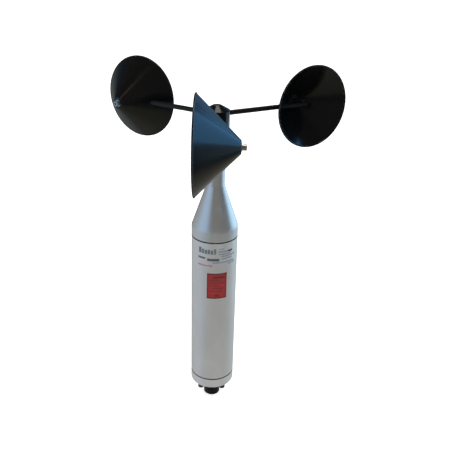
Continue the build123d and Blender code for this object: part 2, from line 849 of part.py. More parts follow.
def wind_cup(angle):
    """A thin cone with a round bead for its rim, a flat tip and a hole for its arm."""
    towards_tip = Vector(-sin(cup_half_angle), cos(cup_half_angle))
    across_wall = Vector(cos(cup_half_angle), sin(cup_half_angle)) * (cup_wall / 2)
    bead = Vector(cup_rim_r - cup_bead_r, cup_bead_r - cup_rim_back)
    wall_start = bead + towards_tip * (cup_bead_r ** 2 - (cup_wall / 2) ** 2) ** 0.5
    outer_start = wall_start + across_wall
    inner_start = wall_start - across_wall
    inner_tip = cup_tip_front - cup_tip_t
    outer_tip_r = outer_start.X - (cup_tip_front - outer_start.Y) * tan(cup_half_angle)
    inner_tip_r = inner_start.X - (inner_tip - inner_start.Y) * tan(cup_half_angle)
    with BuildPart() as cup:
        with BuildSketch(cup_profile(angle)):
            with BuildLine():
                FilletPolyline((0, cup_tip_front), (outer_tip_r, cup_tip_front), outer_start, radius=cup_tip_round)
                ThreePointArc(outer_start, bead - towards_tip * cup_bead_r, inner_start)
                FilletPolyline(inner_start, (inner_tip_r, inner_tip), (0, inner_tip), radius=cup_tip_round)
                Line((0, inner_tip), (0, cup_tip_front))
            make_face()
        revolve(axis=cup_axis(angle))
        with BuildSketch(across_arm(angle, cup_reach - cup_rim_r)):
            Circle(arm_r + fit_gap)
        extrude(amount=cup_rim_r, mode=Mode.SUBTRACT)
        with BuildSketch(along_cup(angle, cup_tip_front)):
            Circle(screw_hole_r)
        extrude(amount=-cup_tip_t, mode=Mode.SUBTRACT)
    return cup


for number, angle in enumerate(arm_angles, start=1):
    write(rotor_arm(angle), f"rotor_arm_{number}")
    write(wind_cup(angle), f"cup_{number}")

with BuildPart() as cup_screws:
    for angle in arm_angles:
        screw_len = head_seat + arm_r - screw_web - screw_end_gap
        turned(cap_screw_outline(head_seat, screw_len), cup_profile(angle), cup_axis(angle))
        with BuildSketch(along_cup(angle, head_seat + screw_head_h)):
            RegularPolygon(screw_key_r, 6)
        extrude(amount=-screw_key_depth, mode=Mode.SUBTRACT)
write(cup_screws, "cup_screws")


def cup_rings(low, high, outer, slit=0.0):
    """The same ring round each cup's screw, plain or slit across one side."""
    with BuildPart() as rings:
        for angle in arm_angles:
            with BuildSketch(along_cup(angle, low)):
                Circle(outer)
                Circle(screw_hole_r, mode=Mode.SUBTRACT)
                if slit:
                    with Locations((0, outer)):
                        Rectangle(slit, outer * 2, mode=Mode.SUBTRACT)
            extrude(amount=high - low)
    return rings


write(cup_rings(cup_tip_front, cup_tip_front + washer_t, washer_r), "cup_washers")
write(cup_rings(arm_seat, cup_tip_front - cup_tip_t, spacer_r), "cup_spacers")
lock_washers = cup_rings(cup_tip_front + washer_t, head_seat, screw_head_r, slit=lock_washer_slit)
write(lock_washers, "cup_lock_washers")

print("cup half angle, degrees:", round(degrees(cup_half_angle), 2))
print("rotor radius and height, mm:", round(cup_reach + cup_rim_r, 2), round(hub_top + connector_len, 2))
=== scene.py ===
"""Cup anemometer: finishes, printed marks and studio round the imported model."""

import math

import bmesh
import bpy
from bpy.props import FloatProperty, FloatVectorProperty, PointerProperty
from mathutils import Matrix, Vector


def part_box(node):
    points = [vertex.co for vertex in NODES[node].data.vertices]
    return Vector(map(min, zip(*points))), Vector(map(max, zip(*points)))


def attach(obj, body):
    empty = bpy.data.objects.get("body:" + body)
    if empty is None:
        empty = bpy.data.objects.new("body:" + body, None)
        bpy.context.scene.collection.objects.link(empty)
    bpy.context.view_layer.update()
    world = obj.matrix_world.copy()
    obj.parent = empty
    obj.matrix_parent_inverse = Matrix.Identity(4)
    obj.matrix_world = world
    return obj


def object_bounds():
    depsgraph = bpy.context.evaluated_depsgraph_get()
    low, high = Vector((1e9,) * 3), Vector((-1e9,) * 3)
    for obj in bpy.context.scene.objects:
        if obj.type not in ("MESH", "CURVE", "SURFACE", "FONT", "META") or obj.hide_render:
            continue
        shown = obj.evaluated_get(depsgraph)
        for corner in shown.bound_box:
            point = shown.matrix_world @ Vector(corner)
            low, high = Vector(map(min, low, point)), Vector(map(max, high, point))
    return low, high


bl_info = {
    "name": "Cup Anemometer",
    "version": (1, 0, 0),
    "blender": (4, 5, 0),
    "location": "View3D > Sidebar > Anemometer",
    "description": "Finishes, printed marks and a plain studio for a three-cup anemometer",
    "category": "Add Mesh",
}

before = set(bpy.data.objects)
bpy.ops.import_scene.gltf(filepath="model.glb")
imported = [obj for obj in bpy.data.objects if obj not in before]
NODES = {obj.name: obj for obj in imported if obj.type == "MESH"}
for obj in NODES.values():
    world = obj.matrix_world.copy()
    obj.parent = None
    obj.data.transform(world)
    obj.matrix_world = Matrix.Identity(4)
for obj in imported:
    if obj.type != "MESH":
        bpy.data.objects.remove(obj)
CAD_BOX = [list(corner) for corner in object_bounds()]

MM = 0.001
TUBE_LOW, TUBE_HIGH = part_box("body_tube")
TUBE_R = TUBE_HIGH[0]
LOWER_SEAM, UPPER_SEAM = TUBE_LOW[2], TUBE_HIGH[2]
LABEL_LOW, LABEL_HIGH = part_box("red_label")
CUP_LOW, CUP_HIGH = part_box("cup_1")
CUP_REACH = -(CUP_LOW[1] + CUP_HIGH[1]) / 2
CUP_Z = (CUP_LOW[2] + CUP_HIGH[2]) / 2
CUP_RIM = CUP_LOW[0]
HEAD_RIM_HEIGHT = 11 * MM
HEAD_RIM_TOP = UPPER_SEAM + HEAD_RIM_HEIGHT
FRONT = -90.0
FIRST_ARM = FRONT
CUP_COUNT = 3

# painted seam shade, wear and print, as distances on the surface
SEAM_SHADE_CORE = 0.65 * MM
SEAM_SHADE_EDGE = 1.0 * MM
MATTE_FADE_TOP = 5 * MM
MATTE_FADE_BOTTOM = 2 * MM
RIM_WEAR = 2.2 * MM
LABEL_FRAME_START = 1.3 * MM
LABEL_FRAME_FULL = 0.5 * MM

# painted shade for the seams, and what settles on the finishes, or shows where they rub
# painted shade: the dark colour laid along the seam grooves where their shadow falls
SEAM_SHADE = (0.022, 0.024, 0.024)
SMUDGE = (0.33, 0.34, 0.33)
DUST = (0.16, 0.15, 0.13)
SPECK = (0.2, 0.2, 0.19)
WORN_RIM = (0.1, 0.1, 0.1)
RUBBED_PAINT = (0.12, 0.12, 0.12)
PRINT_WEAVE = (0.42, 0.05, 0.05)

# the studio, in metres and degrees
FLOOR_SIDE = 40
OVERHEAD_PLACE = (0.1, 0.25, 1.7)
OVERHEAD_TARGET = (0, 0, 0.2)
OVERHEAD_SIDE = 0.7
OVERHEAD_COLOUR = (1.0, 0.94, 0.82)
WINDOW_HEIGHT = 0.74
WINDOW_COLOUR = (0.17, 0.52, 1.0)
LAMP_PLACE = (-0.49, -0.42, 1.33)
LAMP_TARGET = (-0.09, 0.05, CUP_Z)
LAMP_SIDE = 0.14
LAMP_COLOUR = (1.0, 0.72, 0.5)
CAMERA_PLACE = (0.01263, -0.57551, 0.46850)
CAMERA_PITCH = 25.1
CAMERA_YAW = -0.06
CAMERA_ROLL = 1.624
CAMERA_LENS = 47.153
CAMERA_SENSOR = 36


# ---------------------------------------------------------------- shader graph
class Value:
    """A node's output, with arithmetic that adds Math nodes."""

    def __init__(self, graph, socket):
        self.graph = graph
        self.socket = socket

    def math(self, operation, *others):
        values = dict(enumerate((self, *others)))
        return self.graph.node("ShaderNodeMath", {"operation": operation}, values)

    def __add__(self, other):
        return self.math("ADD", other)

    __radd__ = __add__

    def __sub__(self, other):
        return self.math("SUBTRACT", other)

    def __rsub__(self, other):
        return self.graph.node("ShaderNodeMath", {"operation": "SUBTRACT"}, {0: other, 1: self})

    def __mul__(self, other):
        return self.math("MULTIPLY", other)

    __rmul__ = __mul__

    def __abs__(self):
        return self.math("ABSOLUTE")

    def smooth(self, low, high):
        """0 below low, 1 above high, with a soft step between (or the other way round)."""
        inputs = {"Value": self, "From Min": low, "From Max": high, "To Min": 0.0, "To Max": 1.0}
        return self.graph.node("ShaderNodeMapRange", {"interpolation_type": "SMOOTHSTEP"}, inputs)


class Graph:
    """Node tree of a material or a world."""

    def __init__(self, tree):
        self.tree = tree
        self.tree.nodes.clear()

    def node(self, kind, settings=None, inputs=None, output=0):
        made = self.tree.nodes.new(kind)
        for name, value in (settings or {}).items():
            setattr(made, name, value)
        for key, value in (inputs or {}).items():
            self.feed(made.inputs[key], value)
        return Value(self, made.outputs[output]) if len(made.outputs) else made

    def feed(self, socket, value):
        if isinstance(value, Value):
            self.tree.links.new(value.socket, socket)
        elif socket.type == "RGBA":
            socket.default_value = (*value[:3], 1.0)
        else:
            socket.default_value = value

    def vector(self, x, y, z):
        return self.node("ShaderNodeCombineXYZ", inputs={0: x, 1: y, 2: z})

    def split(self, vector):
        """The three coordinates of a vector, as Values."""
        made = self.node("ShaderNodeSeparateXYZ", inputs={0: vector}).socket.node
        return [Value(self, socket) for socket in made.outputs]

    def vector_math(self, operation, a, b, output=0):
        return self.node("ShaderNodeVectorMath", {"operation": operation}, {0: a, 1: b}, output)

    def dot(self, a, b):
        return self.vector_math("DOT_PRODUCT", a, b, "Value")

    def mix(self, amount, a, b):
        """A colour from a to b."""
        settings = {"data_type": "RGBA", "clamp_factor": True}
        return self.node("ShaderNodeMix", settings, {0: amount, 6: a, 7: b}, 2)

    def point(self):
        return self.node("ShaderNodeTexCoord", output="Object")

    def noise(self, vector, scale=1.0, detail=2.0, roughness=0.5):
        inputs = {"Vector": vector, "Scale": scale, "Detail": detail, "Roughness": roughness}
        return self.node("ShaderNodeTexNoise", inputs=inputs)


class Finish(Graph):
    """A procedural material for one of the object's finishes."""

    def __init__(self, name):
        self.material = bpy.data.materials.new(name)
        self.material.use_nodes = True
        super().__init__(self.material.node_tree)

    def shade(self, height=None, bump=0.2, depth=0.0001, **sockets):
        """Close the material with its shader; height, a Value, becomes a bump."""
        named = {}
        for key, value in sockets.items():
            named[key.replace("_", " ").title().replace("Ior", "IOR")] = value
        if height is not None:
            inputs = {"Height": height, "Strength": bump, "Distance": depth}
            named["Normal"] = self.node("ShaderNodeBump", inputs=inputs)
        shader = self.node("ShaderNodeBsdfPrincipled", inputs=named)
        self.node("ShaderNodeOutputMaterial", inputs={"Surface": shader})
        return self.material


def paint(material, *names):
    """Give CAD nodes or pieces a material."""
    for name in names:
        piece = NODES.get(name) or bpy.data.objects[name]
        if not piece.data.materials:
            piece.data.materials.append(material)
        for index in range(len(piece.data.materials)):
            piece.data.materials[index] = material


def scaled(colour, factor):
    return tuple(min(1.0, channel * factor) for channel in colour[:3])


# ---------------------------------------------------------------- finishes
def anodised_aluminium(name, colour, roughness, metallic=0.8, seams=(), matte_below=None):
    """Satin anodised aluminium, turned, with faint handling marks and painted shade along its seams."""
    g = Finish(name)
    point = g.point()
    x, y, z = g.split(point)
    turning = g.noise(g.vector(x * 30, y * 30, z * 5200), detail=3)
    cloud = g.noise(g.vector(x * 22, y * 22, z * 9), detail=4, roughness=0.6)
    grain = g.noise(point, scale=2600, detail=2)
    streaks = g.noise(g.vector(x * 620, y * 620, z * 14), detail=3, roughness=0.7)
    scratch = streaks.smooth(0.66, 0.72)
    smudge = g.noise(point, scale=55, detail=5, roughness=0.65).smooth(0.52, 0.72)
    tone = g.mix(cloud.smooth(0.3, 0.7), scaled(colour, 0.93), scaled(colour, 1.05))
    tone = g.mix(grain * 0.25, tone, scaled(colour, 0.8))
    tone = g.mix(scratch * 0.18, tone, scaled(colour, 1.3))
    tone = g.mix(smudge * 0.12, tone, SMUDGE)
    rough = roughness + 0.08 * cloud + 0.05 * turning + 0.06 * smudge - 0.08 * scratch
    metal = metallic - 0.08 * smudge
    if matte_below is not None:
        matte = z.smooth(matte_below + MATTE_FADE_TOP, matte_below - MATTE_FADE_BOTTOM)
        rough = rough + 0.14 * matte
        metal = metal - 0.06 * matte
    # painted shade: near each seam the colour darkens, and the surface turns rougher and less metallic
    seam_shade = None
    for seam in seams:
        near = abs(z - seam).smooth(SEAM_SHADE_EDGE, SEAM_SHADE_CORE)
        seam_shade = near if seam_shade is None else seam_shade.math("MAXIMUM", near)
    if seam_shade is not None:
        tone = g.mix(seam_shade, tone, SEAM_SHADE)
        rough = rough + 0.35 * seam_shade
        metal = metal * (1.0 - 0.9 * seam_shade)
    height = 0.7 * turning + 0.3 * grain
    return g.shade(height, bump=0.16, depth=0.00006, base_color=tone, roughness=rough, metallic=metal)


def cup_lacquer(name, colour, number):
    """Black lacquer over a spun cone: rings about the cup's axis, orange peel, dust and a worn rim."""
    g = Finish(name)
    angle = math.radians(FIRST_ARM + (number - 1) * 360 / CUP_COUNT)
    centre = Vector((math.cos(angle) * CUP_REACH, math.sin(angle) * CUP_REACH, CUP_Z))
    axis = Vector((-math.sin(angle), math.cos(angle), 0))
    point = g.point()
    local = g.vector_math("SUBTRACT", point, centre)
    along = g.dot(local, axis)
    rings = g.noise(g.vector(along * 900, 0.0, 0.0), detail=3, roughness=0.6)
    peel = g.noise(point, scale=900, detail=2)
    cloud = g.noise(point, scale=26, detail=4, roughness=0.6)
    specks = g.noise(point, scale=1900, detail=1).smooth(0.7, 0.78)
    dust = cloud.smooth(0.45, 0.75) * 0.004
    rim = along.smooth(CUP_RIM + RIM_WEAR, CUP_RIM)
    worn = rim * g.noise(point, scale=420, detail=3).smooth(0.5, 0.62)
    tone = g.mix(cloud, scaled(colour, 0.85), scaled(colour, 1.3))
    tone = g.mix(dust, tone, DUST)
    tone = g.mix(specks * 0.03, tone, SPECK)
    tone = g.mix(worn * 0.2, tone, WORN_RIM)
    rough = 0.14 + 0.06 * cloud + 0.03 * rings + 0.25 * worn + 0.1 * specks
    height = 0.5 * rings + 0.5 * peel
    return g.shade(
        height, bump=0.06, depth=0.00005,
        base_color=tone, roughness=rough, specular_ior_level=0.35)


def black_lacquer(name, colour, roughness, lift, gloss=0.3):
    """Satin black paint with turning marks and rubbed spots."""
    g = Finish(name)
    point = g.point()
    x, y, z = g.split(point)
    turning = g.noise(g.vector(x * 60, y * 60, z * 3800), detail=3)
    peel = g.noise(point, scale=1300, detail=2)
    cloud = g.noise(point, scale=60, detail=4, roughness=0.6)
    rubbed = g.noise(point, scale=340, detail=4, roughness=0.7).smooth(0.6, 0.75)
    tone = g.mix(cloud, scaled(colour, 0.8), scaled(colour, 1.3))
    tone = g.mix(rubbed * lift, tone, RUBBED_PAINT)
    rough = roughness + 0.1 * cloud + 0.12 * rubbed
    height = 0.5 * turning + 0.5 * peel
    return g.shade(
        height, bump=0.12, depth=0.00005,
        base_color=tone, roughness=rough, specular_ior_level=gloss)


def bright_steel(name, colour, roughness):
    """Machined metal with fine lines and faint stains."""
    g = Finish(name)
    point = g.point()
    lines = g.noise(point, scale=5200, detail=2)
    stain = g.noise(point, scale=420, detail=4, roughness=0.65)
    tone = g.mix(stain.smooth(0.45, 0.75) * 0.35, colour, scaled(colour, 0.72))
    rough = roughness + 0.14 * stain + 0.05 * lines
    return g.shade(lines, bump=0.12, depth=0.00003, base_color=tone, roughness=rough, metallic=1.0)


def moulded(name, colour, roughness):
    """Moulded polymer, rubber or film with a fine grain and slight mottling."""
    g = Finish(name)
    point = g.point()
    grain = g.noise(point, scale=1800, detail=3, roughness=0.6)
    mottle = g.noise(point, scale=160, detail=3)
    tone = g.mix(mottle, scaled(colour, 0.82), scaled(colour, 1.16))
    rough = roughness + 0.12 * grain
    return g.shade(grain, bump=0.2, depth=0.00005, base_color=tone, roughness=rough)


def label_film(name, colour):
    """Printed red film: faint print mottle, and a darker band along its top and bottom edges."""
    g = Finish(name)
    point = g.point()
    z = g.split(point)[2]
    weave = g.noise(point, scale=900, detail=3, roughness=0.6)
    mottle = g.noise(point, scale=130, detail=4, roughness=0.6)
    middle = (LABEL_LOW[2] + LABEL_HIGH[2]) / 2
    half = (LABEL_HIGH[2] - LABEL_LOW[2]) / 2
    edge = abs(z - middle).smooth(half - LABEL_FRAME_START, half - LABEL_FRAME_FULL)
    tone = g.mix(mottle, scaled(colour, 0.8), scaled(colour, 1.25))
    tone = g.mix(weave.smooth(0.55, 0.75) * 0.25, tone, PRINT_WEAVE)
    tone = g.mix(edge * 0.55, tone, scaled(colour, 0.35))
    rough = 0.38 + 0.16 * mottle
    return g.shade(
        weave, bump=0.12, depth=0.00004,
        base_color=tone, roughness=rough, specular_ior_level=0.3)


def board_laminate(name, colour):
    """Green solder mask over copper tracks."""
    g = Finish(name)
    point = g.point()
    x, y, _ = g.split(point)
    lanes = (x * 900).math("SINE") * 0.5 + 0.5
    crossing = (y * 620).math("SINE") * 0.5 + 0.5
    tracks = (lanes * crossing).smooth(0.55, 0.65)
    mottle = g.noise(point, scale=300, detail=3)
    tone = g.mix(tracks, colour, scaled(colour, 1.9))
    tone = g.mix(mottle * 0.2, tone, scaled(colour, 0.6))
    return g.shade(tracks, bump=0.3, depth=0.00005, base_color=tone, roughness=0.32 + 0.1 * mottle)


# ---------------------------------------------------------------- mesh pieces
def on_tube(radius, azimuth, height):
    """A point on the tube, its azimuth in degrees from the front, positive to the right."""
    turn = math.radians(azimuth + FRONT)
    return (radius * math.cos(turn), radius * math.sin(turn), height)


def film_patch(mesh, azimuths, heights, inner, outer, step=2.0):
    """Add a thin curved patch, as a closed solid between two radii."""
    start, end = azimuths
    columns = max(2, int(math.ceil((end - start) / step)))
    corners = []
    for index in range(columns + 1):
        azimuth = start + (end - start) * index / columns
        corners.append([
            mesh.verts.new(on_tube(radius, azimuth, height))
            for radius, height in (
                (outer, heights[0]), (outer, heights[1]), (inner, heights[1]), (inner, heights[0]))
        ])
    for left, right in zip(corners, corners[1:]):
        for side in range(4):
            after = (side + 1) % 4
            mesh.faces.new((left[side], right[side], right[after], left[after]))
    mesh.faces.new(corners[0])
    mesh.faces.new(reversed(corners[-1]))


def piece_from(name, mesh, body, material):
    """Turn a bmesh into a piece that rides on a body."""
    bmesh.ops.recalc_face_normals(mesh, faces=mesh.faces)
    data = bpy.data.meshes.new(name)
    mesh.to_mesh(data)
    mesh.free()
    piece = bpy.data.objects.new(name, data)
    bpy.context.scene.collection.objects.link(piece)
    data.materials.append(material)
    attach(piece, body)


# ---------------------------------------------------------------- settings
class AnemometerFinishes(bpy.types.PropertyGroup):
    """Colours and sheens of the instrument's finishes."""

    aluminium: FloatVectorProperty(
        name="Anodised aluminium", description="Colour of the tube, head and base",
        subtype="COLOR", size=3, min=0, max=1, default=(0.585, 0.595, 0.60))
    aluminium_roughness: FloatProperty(
        name="Aluminium roughness", description="Sheen of the anodised surfaces",
        min=0, max=1, default=0.34, subtype="FACTOR")
    lacquer: FloatVectorProperty(
        name="Cup lacquer", description="Colour of the cups",
        subtype="COLOR", size=3, min=0, max=1, default=(0.0009, 0.0011, 0.0014))
    hub: FloatVectorProperty(
        name="Hub and arms", description="Colour of the hub and the arms",
        subtype="COLOR", size=3, min=0, max=1, default=(0.0020, 0.0021, 0.0024))
    steel: FloatVectorProperty(
        name="Stainless steel", description="Colour of the bright screws and washers",
        subtype="COLOR", size=3, min=0, max=1, default=(0.44, 0.43, 0.42))
    label: FloatVectorProperty(
        name="Label film", description="Colour of the label on the tube",
        subtype="COLOR", size=3, min=0, max=1, default=(0.214, 0.0092, 0.0095))
    ink: FloatVectorProperty(
        name="Printed marks", description="Colour of the dark printed marks",
        subtype="COLOR", size=3, min=0, max=1, default=(0.05, 0.06, 0.075))


class AnemometerSizes(bpy.types.PropertyGroup):
    """Sizes of the printed marks."""

    ink_height: FloatProperty(
        name="Ink height", description="How far printed marks stand off the surface",
        unit="LENGTH", min=0, default=0.03 * MM)
    mark_drop: FloatProperty(
        name="Mark drop", description="Upper seam to the top of the printed block",
        unit="LENGTH", min=0, default=5.0 * MM)


class AnemometerStudio(bpy.types.PropertyGroup):
    """The plain studio round the instrument."""

    dome: FloatProperty(
        name="Dome strength", description="Brightness of the soft surround",
        min=0, default=1.0)
    key: FloatProperty(
        name="Overhead power", description="Power of the overhead soft light",
        unit="POWER", min=0, default=9.0)
    window: FloatProperty(
        name="Window power", description="Power of the blue window's panes, for each metre of width",
        min=0, default=7.3)
    lamp: FloatProperty(
        name="Lamp power", description="Power of the narrow lamp in the lacquer",
        unit="POWER", min=0, default=0.16)


# ---------------------------------------------------------------- operators
class ANEMOMETER_OT_housing(bpy.types.Operator):
    """Finish the tube, the head and the base cap"""

    bl_idname = "anemometer.housing"
    bl_label = "Housing"

    def execute(self, context):
        look = context.scene.anemometer_finishes
        colour, roughness = tuple(look.aluminium), look.aluminium_roughness
        seams = (LOWER_SEAM, UPPER_SEAM)
        tube = anodised_aluminium("satin_tube", scaled(colour, 1.02), roughness + 0.06, 0.7, seams)
        head = anodised_aluminium("satin_head", colour, roughness - 0.06, 0.88, seams, HEAD_RIM_TOP)
        base = anodised_aluminium("satin_base", scaled(colour, 1.05), roughness + 0.1, 0.64, seams)
        paint(tube, "body_tube")
        paint(head, "head")
        paint(base, "base_cap")
        return {"FINISHED"}


class ANEMOMETER_OT_cups(bpy.types.Operator):
    """Lacquer the three cups"""

    bl_idname = "anemometer.cups"
    bl_label = "Cups"

    def execute(self, context):
        colour = tuple(context.scene.anemometer_finishes.lacquer)
        for number in range(1, CUP_COUNT + 1):
            paint(cup_lacquer(f"cup_lacquer_{number}", colour, number), f"cup_{number}")
        return {"FINISHED"}


class ANEMOMETER_OT_rotor(bpy.types.Operator):
    """Finish the hub and the arms"""

    bl_idname = "anemometer.rotor"
    bl_label = "Hub and arms"

    def execute(self, context):
        colour = tuple(context.scene.anemometer_finishes.hub)
        paint(black_lacquer("hub_lacquer", colour, 0.1, 0.08, 0.21), "rotor_hub")
        arms = [f"rotor_arm_{number}" for number in range(1, CUP_COUNT + 1)]
        paint(black_lacquer("arm_lacquer", scaled(colour, 1.4), 0.3, 0.15), *arms)
        return {"FINISHED"}


class ANEMOMETER_OT_fasteners(bpy.types.Operator):
    """Finish the screws, washers, rings and clips"""

    bl_idname = "anemometer.fasteners"
    bl_label = "Fasteners"

    def execute(self, context):
        colour = tuple(context.scene.anemometer_finishes.steel)
        paint(
            bright_steel("stainless_screws", colour, 0.2),
            "cup_screws", "cup_washers", "cup_lock_washers", "cup_spacers", "hub_screw", "base_washers",
            "base_lock_washers", "board_screws", "collar_screw", "rotor_shaft")
        paint(
            bright_steel("spring_steel", scaled(colour, 0.5), 0.32),
            "upper_bearing_circlip", "lower_bearing_circlip", "shaft_circlip", "preload_washer")
        paint(
            bright_steel("bearing_steel", scaled(colour, 1.15), 0.1),
            "upper_bearing_outer_ring", "upper_bearing_inner_ring", "upper_bearing_balls",
            "lower_bearing_outer_ring", "lower_bearing_inner_ring", "lower_bearing_balls")
        oxide = black_lacquer("black_oxide", (0.014, 0.014, 0.015), 0.35, 0.4)
        paint(oxide, "base_screws", "arm_set_screws")
        return {"FINISHED"}


class ANEMOMETER_OT_connector(bpy.types.Operator):
    """Finish the connector, its gasket and the seals"""

    bl_idname = "anemometer.connector"
    bl_label = "Connector and seals"

    def execute(self, context):
        shell = black_lacquer("connector_finish", (0.0035, 0.0035, 0.004), 0.34, 0.12, 0.22)
        paint(shell, "connector_shell")
        paint(moulded("insert_polymer", (0.02, 0.02, 0.022), 0.5), "connector_insert")
        paint(moulded("boot_rubber", (0.03, 0.03, 0.03), 0.7), "connector_boot")
        seals = moulded("seal_rubber", (0.012, 0.012, 0.012), 0.65)
        paint(seals, "connector_gasket", "head_o_ring", "base_o_ring")
        paint(bright_steel("contact_gold", (0.83, 0.62, 0.25), 0.18), "connector_contacts")
        paint(bright_steel("nut_brass", (0.62, 0.5, 0.24), 0.28), "connector_nut")
        return {"FINISHED"}


class ANEMOMETER_OT_electronics(bpy.types.Operator):
    """Finish the board, the sensor, the disc, the lead and the bearings' cages"""

    bl_idname = "anemometer.electronics"
    bl_label = "Electronics"

    def execute(self, context):
        paint(board_laminate("solder_mask", (0.015, 0.11, 0.04)), "circuit_board")
        paint(moulded("chip_body", (0.015, 0.015, 0.017), 0.45), "board_chips", "optical_fork")
        paint(moulded("socket_body", (0.55, 0.53, 0.45), 0.45), "board_socket", "lead_plug")
        paint(bright_steel("capacitor_can", (0.55, 0.56, 0.58), 0.3), "board_capacitors")
        paint(moulded("lead_jacket", (0.09, 0.09, 0.1), 0.5), "signal_lead")
        cages = moulded("cage_polymer", (0.5, 0.36, 0.15), 0.45)
        paint(cages, "upper_bearing_cage", "lower_bearing_cage")
        paint(bright_steel("etched_disc", (0.3, 0.3, 0.31), 0.4), "encoder_disc")
        paint(anodised_aluminium("turned_collar", (0.55, 0.55, 0.57), 0.3), "encoder_collar")
        return {"FINISHED"}


class ANEMOMETER_OT_label(bpy.types.Operator):
    """Finish the red label and print plain rules on it"""

    bl_idname = "anemometer.label"
    bl_label = "Label"

    def execute(self, context):
        look = context.scene.anemometer_finishes
        sizes = context.scene.anemometer_sizes
        paint(label_film("label_film", tuple(look.label)), "red_label")
        left = math.degrees(math.asin(LABEL_LOW[0] / TUBE_R))
        right = math.degrees(math.asin(LABEL_HIGH[0] / TUBE_R))
        height = LABEL_HIGH[2] - LABEL_LOW[2]
        # each rule: top edge and thickness as shares of the label's height, start and end of its width
        rules = [
            (0.02, 0.030, 0.03, 0.97),
            (0.95, 0.030, 0.03, 0.97),
            (0.02, 0.960, 0.03, 0.07),
            (0.02, 0.960, 0.93, 0.97),
            (0.12, 0.075, 0.28, 0.88),
            (0.25, 0.030, 0.12, 0.70),
            (0.36, 0.030, 0.12, 0.86),
            (0.47, 0.030, 0.12, 0.60),
            (0.58, 0.030, 0.24, 0.86),
            (0.69, 0.030, 0.12, 0.78),
            (0.84, 0.060, 0.36, 0.62),
        ]
        mesh = bmesh.new()
        for top, thick, start, end in rules:
            high = LABEL_HIGH[2] - top * height
            span = right - left
            azimuths = (left + start * span, left + end * span)
            heights = (high - thick * height, high)
            film_patch(mesh, azimuths, heights, TUBE_R, TUBE_R + sizes.ink_height)
        ink = moulded("label_ink", (0.075, 0.006, 0.008), 0.5)
        piece_from("label_rules", mesh, "housing", ink)
        return {"FINISHED"}


class ANEMOMETER_OT_marks(bpy.types.Operator):
    """Print plain bars and rules on the tube under the upper seam"""

    bl_idname = "anemometer.marks"
    bl_label = "Printed marks"

    def execute(self, context):
        look = context.scene.anemometer_finishes
        sizes = context.scene.anemometer_sizes
        top = UPPER_SEAM - sizes.mark_drop
        # each mark: azimuths, drop of its top edge below the block's top, thickness
        dark = [
            (-41, -21, 12.2, 2.1),
            (-16, 14, 13.2, 3.1),
            (36, 50, 4.2, 2.3),
        ]
        slate = [
            (-39, -31.5, 1.2, 6.8),
            (-30, -24, 2.8, 5.2),
            (-22.5, -16, 3.4, 4.8),
            (-14.5, -9, 2.8, 5.2),
            (-7.5, -1, 3.4, 4.8),
            (0.5, 6, 1.8, 6.2),
        ]
        grey = [
            (12, 26, 1.6, 1.3),
            (10, 35, 4.4, 1.8),
            (12, 44, 7.4, 1.6),
            (18, 60, 10.0, 1.6),
            (20, 50, 12.8, 1.5),
            (-2, 56, 17.2, 1.7),
            (38, 60, 20.0, 1.4),
        ]
        red = [(-41, -3, 21.2, 1.8)]
        faded = scaled(tuple(look.ink), 2.7)
        for name, marks, colour in (
            ("dark_marks", dark, tuple(look.ink)),
            ("slate_marks", slate, scaled(tuple(look.ink), 1.7)),
            ("grey_marks", grey, faded),
            ("red_marks", red, (0.26, 0.125, 0.14)),
        ):
            mesh = bmesh.new()
            for start, end, drop, thick in marks:
                high = top - drop * MM
                heights = (high - thick * MM, high)
                film_patch(mesh, (start, end), heights, TUBE_R, TUBE_R + sizes.ink_height)
            piece_from(name, mesh, "housing", moulded(f"{name}_ink", colour, 0.5))
        return {"FINISHED"}


class ANEMOMETER_OT_stage(bpy.types.Operator):
    """Lay the pale floor, hang the soft lights and set the camera"""

    bl_idname = "anemometer.stage"
    bl_label = "Stage"

    def execute(self, context):
        studio = context.scene.anemometer_studio
        lay_floor()
        hang_lights(studio)
        light_surround(studio)
        set_camera()
        context.scene.view_settings.view_transform = "Standard"
        return {"FINISHED"}


# ---------------------------------------------------------------- stage
def lay_floor():
    """A wide pale floor that the connector stands on."""
    mesh = bmesh.new()
    bmesh.ops.create_grid(mesh, x_segments=1, y_segments=1, size=FLOOR_SIDE / 2)
    data = bpy.data.meshes.new("pale_floor")
    mesh.to_mesh(data)
    mesh.free()
    floor = bpy.data.objects.new("pale_floor", data)
    floor.location = (0, 0, CAD_BOX[0][2])
    bpy.context.scene.collection.objects.link(floor)
    g = Finish("pale_floor")
    mottle = g.noise(g.point(), scale=3, detail=3)
    tone = g.mix(mottle, (0.93, 0.93, 0.93), (0.95, 0.95, 0.95))
    floor.data.materials.append(g.shade(
        base_color=tone, roughness=0.9, specular_ior_level=0.0,
        emission_color=(1.0, 1.0, 1.0), emission_strength=0.5))
    floor.visible_glossy = False


def area_light(name, location, target, size, power, colour, receivers=()):
    """A soft rectangular light; with receivers, it lights those CAD nodes only."""
    light = bpy.data.lights.new(name, "AREA")
    light.shape = "RECTANGLE"
    light.size, light.size_y = size
    light.energy = power
    light.color = colour
    lamp = bpy.data.objects.new(name, light)
    lamp.location = location
    lamp.rotation_euler = (Vector(target) - Vector(location)).to_track_quat("-Z", "Y").to_euler()
    bpy.context.scene.collection.objects.link(lamp)
    if receivers:
        group = bpy.data.collections.new(f"{name}_receivers")
        for receiver in receivers:
            group.objects.link(NODES[receiver])
        lamp.light_linking.receiver_collection = group


